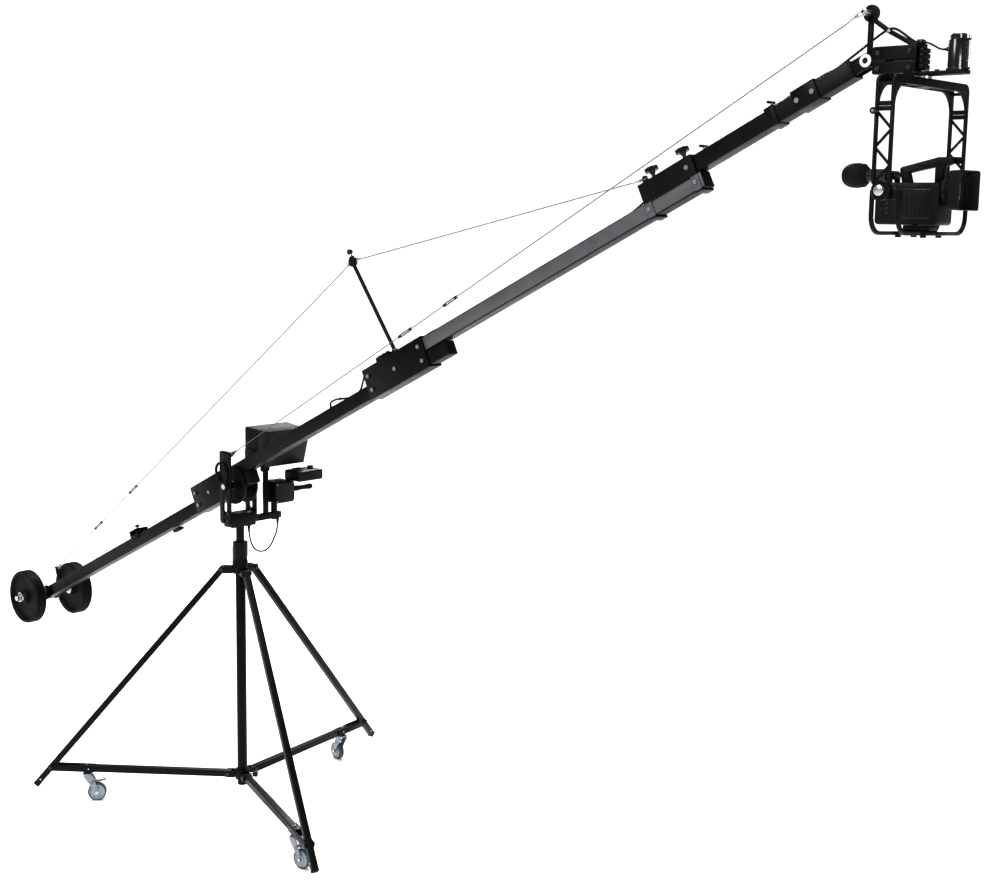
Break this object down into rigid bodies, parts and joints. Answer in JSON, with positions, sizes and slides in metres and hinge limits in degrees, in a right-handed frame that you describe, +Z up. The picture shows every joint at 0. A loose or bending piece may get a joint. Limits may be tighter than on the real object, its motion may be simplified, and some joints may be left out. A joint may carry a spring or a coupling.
{
  "type": "camera jib crane",
  "caption": "Camera jib crane: folding three-legged stand on casters, turning fork, counterweighted three-tube boom with truss cables, self-levelling two-axis swing head and camcorder.",
  "frame": {"origin": "centre of the underside of the stand's column; the floor is 0.095 m below it", "axes": "+Z up, +X horizontal along the boom towards the swing head at rest, +Y to the side of the control station"},
  "size_m": [4.5592, 1.4293, 3.0093],
  "materials": {
    "black_paint": "satin black powder coat",
    "grey_tube": "satin mid-grey coat",
    "bright_steel": "bright turned steel",
    "zinc": "zinc-plated pressed steel",
    "cast_iron": "rough dull black casting",
    "wheel_tread": "dark grey-green tread on a pale hub",
    "black_plastic": "fine-textured black moulding",
    "grey_plastic": "pale grey moulding",
    "motor_gloss": "glossy black enamel",
    "cable_steel": "stranded steel cable with bright fittings",
    "lead_rubber": "soft black cable jacket"
  },
  "bodies": {
    "stand": {"column_tube": "black_paint", "leg_collar": "black_paint"},
    "hub": {"hub_bracket": "black_paint"},
    "clamp_lever": {"mast_clamp_lever": "black_paint"},
    "spreader_front": {"spreader_front": "black_paint"},
    "leg_front": {"leg_front": "black_paint"},
    "caster_front": {"caster_fork_front": "zinc"},
    "wheel_front": {"caster_wheel_front": "wheel_tread"},
    "brake_front": {"caster_brake_front": "zinc"},
    "spreader_far": {"spreader_far": "black_paint"},
    "leg_far": {"leg_far": "black_paint"},
    "caster_far": {"caster_fork_far": "zinc"},
    "wheel_far": {"caster_wheel_far": "wheel_tread"},
    "brake_far": {"caster_brake_far": "zinc"},
    "spreader_rear": {"spreader_rear": "black_paint"},
    "leg_rear": {"leg_rear": "black_paint"},
    "caster_rear": {"caster_fork_rear": "zinc"},
    "wheel_rear": {"caster_wheel_rear": "wheel_tread"},
    "brake_rear": {"caster_brake_rear": "zinc"},
    "mast": {"inner_mast": "black_paint"},
    "fork": {"fork_base": "black_paint", "fork_cheek_near": "black_paint", "fork_cheek_far": "black_paint", "tilt_axle": "bright_steel", "joystick_box": "black_plastic", "zoom_control": "black_plastic", "control_lead": "lead_rubber"},
    "tilt_lock": {"tilt_lock_handle": "black_paint"},
    "joystick": {"joystick_lever": "lead_rubber"},
    "monitor": {"monitor_body": "grey_plastic", "monitor_hood": "black_plastic"},
    "boom": {"rear_tube": "black_paint", "boom_tube_1": "black_paint", "boom_tube_2": "grey_tube", "boom_tube_3": "black_paint", "joint_clamp_rear": "black_paint", "joint_clamp_mid": "black_paint", "joint_clamp_front": "black_paint", "king_post": "black_paint", "truss_cable_rear": "cable_steel", "truss_cable_front": "cable_steel", "weight_bar": "bright_steel", "boom_lead": "lead_rubber", "weight_disc_near": "cast_iron", "weight_disc_far": "cast_iron"},
    "weight_clamp": {"weight_nut": "bright_steel"},
    "knob_rear": {"hand_knob_rear": "black_plastic"},
    "knob_front": {"hand_knob_front": "black_plastic"},
    "level_rod": {"level_cable": "cable_steel"},
    "head": {"head_bracket": "black_paint", "pan_motor": "motor_gloss", "head_lead": "lead_rubber"},
    "yoke": {"yoke_arch": "black_paint", "yoke_arm_near": "black_paint", "yoke_arm_far": "black_paint", "tilt_motor": "motor_gloss"},
    "camera": {"tilt_cradle": "black_paint", "camera_body": "black_plastic", "camera_lens": "black_plastic"},
    "finder": {"viewfinder": "lead_rubber"}
  },
  "joints": [
    {"name": "hub_slide", "type": "slide", "parent": "stand", "child": "hub", "axis": [0, 0, 1], "range_m": [0, 0.4257]},
    {"name": "clamp_lever_turn", "type": "hinge", "parent": "stand", "child": "clamp_lever", "pos_m": [-0.03921, 0.01505, 0.985], "axis": [0.3584, 0.9336, 0], "range_deg": [0, 90]},
    {"name": "spreader_front_fold", "type": "hinge", "parent": "hub", "child": "spreader_front", "pos_m": [0.05601, -0.0215, 0.045], "axis": [0.3584, 0.9336, 0], "range_deg": [0, 57.32]},
    {"name": "leg_front_fold", "type": "hinge", "parent": "spreader_front", "child": "leg_front", "pos_m": [0.74686, -0.28669, 0.045], "axis": [-0.3584, -0.9336, 0], "range_deg": [0, 37.2]},
    {"name": "caster_front_swivel", "type": "hinge", "parent": "spreader_front", "child": "caster_front", "pos_m": [0.60683, -0.23294, 0.02], "axis": [0, 0, 1], "continuous": true},
    {"name": "wheel_front_roll", "type": "hinge", "parent": "caster_front", "child": "wheel_front", "pos_m": [0.64462, -0.22897, -0.0575], "axis": [-0.1045, 0.9945, 0], "continuous": true},
    {"name": "brake_front_press", "type": "hinge", "parent": "caster_front", "child": "brake_front", "pos_m": [0.63368, -0.23012, -0.008], "axis": [-0.1045, 0.9945, 0], "range_deg": [0, 12]},
    {"name": "spreader_far_fold", "type": "hinge", "parent": "hub", "child": "spreader_far", "pos_m": [-0.00939, 0.05926, 0.045], "axis": [-0.9877, -0.1564, 0], "range_deg": [0, 57.32]},
    {"name": "leg_far_fold", "type": "hinge", "parent": "spreader_far", "child": "leg_far", "pos_m": [-0.12515, 0.79015, 0.045], "axis": [0.9877, 0.1564, 0], "range_deg": [0, 37.2]},
    {"name": "caster_far_swivel", "type": "hinge", "parent": "spreader_far", "child": "caster_far", "pos_m": [-0.10168, 0.642, 0.02], "axis": [0, 0, 1], "continuous": true},
    {"name": "wheel_far_roll", "type": "hinge", "parent": "caster_far", "child": "wheel_far", "pos_m": [-0.13911, 0.6486, -0.0575], "axis": [-0.1736, -0.9848, 0], "continuous": true},
    {"name": "brake_far_press", "type": "hinge", "parent": "caster_far", "child": "brake_far", "pos_m": [-0.12827, 0.64669, -0.008], "axis": [-0.1736, -0.9848, 0], "range_deg": [0, 12]},
    {"name": "spreader_rear_fold", "type": "hinge", "parent": "hub", "child": "spreader_rear", "pos_m": [-0.04663, -0.03776, 0.045], "axis": [0.6293, -0.7771, 0], "range_deg": [0, 57.32]},
    {"name": "leg_rear_fold", "type": "hinge", "parent": "spreader_rear", "child": "leg_rear", "pos_m": [-0.62172, -0.50346, 0.045], "axis": [-0.6293, 0.7771, 0], "range_deg": [0, 37.2]},
    {"name": "caster_rear_swivel", "type": "hinge", "parent": "spreader_rear", "child": "caster_rear", "pos_m": [-0.50514, -0.40906, 0.02], "axis": [0, 0, 1], "continuous": true},
    {"name": "wheel_rear_roll", "type": "hinge", "parent": "caster_rear", "child": "wheel_rear", "pos_m": [-0.48072, -0.37995, -0.0575], "axis": [-0.766, 0.6428, 0], "continuous": true},
    {"name": "brake_rear_press", "type": "hinge", "parent": "caster_rear", "child": "brake_rear", "pos_m": [-0.48779, -0.38838, -0.008], "axis": [-0.766, 0.6428, 0], "range_deg": [0, 12]},
    {"name": "mast_raise", "type": "slide", "parent": "stand", "child": "mast", "axis": [0, 0, 1], "range_m": [0, 0.25]},
    {"name": "crane_pan", "type": "hinge", "parent": "mast", "child": "fork", "pos_m": [0, 0, 1.087], "axis": [0, 0, 1], "continuous": true},
    {"name": "tilt_lock_turn", "type": "hinge", "parent": "fork", "child": "tilt_lock", "pos_m": [0, -0.0725, 1.255], "axis": [0, 1, 0], "range_deg": [-30, 30]},
    {"name": "joystick_rock", "type": "hinge", "parent": "fork", "child": "joystick", "pos_m": [0, 0.2525, 1.2035], "axis": [1, 0, 0], "range_deg": [-20, 20]},
    {"name": "monitor_tilt", "type": "hinge", "parent": "fork", "child": "monitor", "pos_m": [0, 0.1325, 1.303], "axis": [0, 1, 0], "range_deg": [-15, 10]},
    {"name": "boom_tilt", "type": "hinge", "parent": "fork", "child": "boom", "pos_m": [0, 0, 1.255], "axis": [0, -1, 0], "range_deg": [-45, 15]},
    {"name": "level_rod_turn", "type": "hinge", "parent": "fork", "child": "level_rod", "pos_m": [0, -0.042, 1.38], "axis": [0, -1, 0], "range_deg": [-45, 15]},
    {"name": "head_level", "type": "hinge", "parent": "boom", "child": "head", "pos_m": [2.71801, 0, 2.76629], "axis": [0, -1, 0], "range_deg": [-15, 45]},
    {"name": "weight_nut_turn", "type": "hinge", "parent": "boom", "child": "weight_clamp", "pos_m": [-1.41318, -0.154, 0.55963], "axis": [0, 1, 0], "continuous": true},
    {"name": "knob_rear_turn", "type": "hinge", "parent": "boom", "child": "knob_rear", "pos_m": [2.00949, 0, 2.46669], "axis": [-0.4415, 0, 0.8973], "continuous": true},
    {"name": "knob_front_turn", "type": "hinge", "parent": "boom", "child": "knob_front", "pos_m": [2.12075, 0, 2.52144], "axis": [-0.4415, 0, 0.8973], "continuous": true},
    {"name": "head_pan", "type": "hinge", "parent": "head", "child": "yoke", "pos_m": [2.88301, 0, 2.72629], "axis": [0, 0, 1], "continuous": true},
    {"name": "camera_tilt", "type": "hinge", "parent": "yoke", "child": "camera", "pos_m": [2.88301, 0, 2.41929], "axis": [0, 1, 0], "range_deg": [-60, 60]},
    {"name": "finder_turn", "type": "hinge", "parent": "camera", "child": "finder", "pos_m": [2.80801, 0, 2.46329], "axis": [0, 1, 0], "range_deg": [0, 70]}
  ],
  "couplings": [
    {"joint": "spreader_front_fold", "follows": "hub_slide", "rad_per_m": 2.3491},
    {"joint": "leg_front_fold", "follows": "hub_slide", "rad_per_m": 1.5239},
    {"joint": "spreader_far_fold", "follows": "hub_slide", "rad_per_m": 2.3491},
    {"joint": "leg_far_fold", "follows": "hub_slide", "rad_per_m": 1.5239},
    {"joint": "spreader_rear_fold", "follows": "hub_slide", "rad_per_m": 2.3491},
    {"joint": "leg_rear_fold", "follows": "hub_slide", "rad_per_m": 1.5239},
    {"joint": "level_rod_turn", "follows": "boom_tilt", "ratio": 1},
    {"joint": "head_level", "follows": "boom_tilt", "ratio": -1}
  ]
}
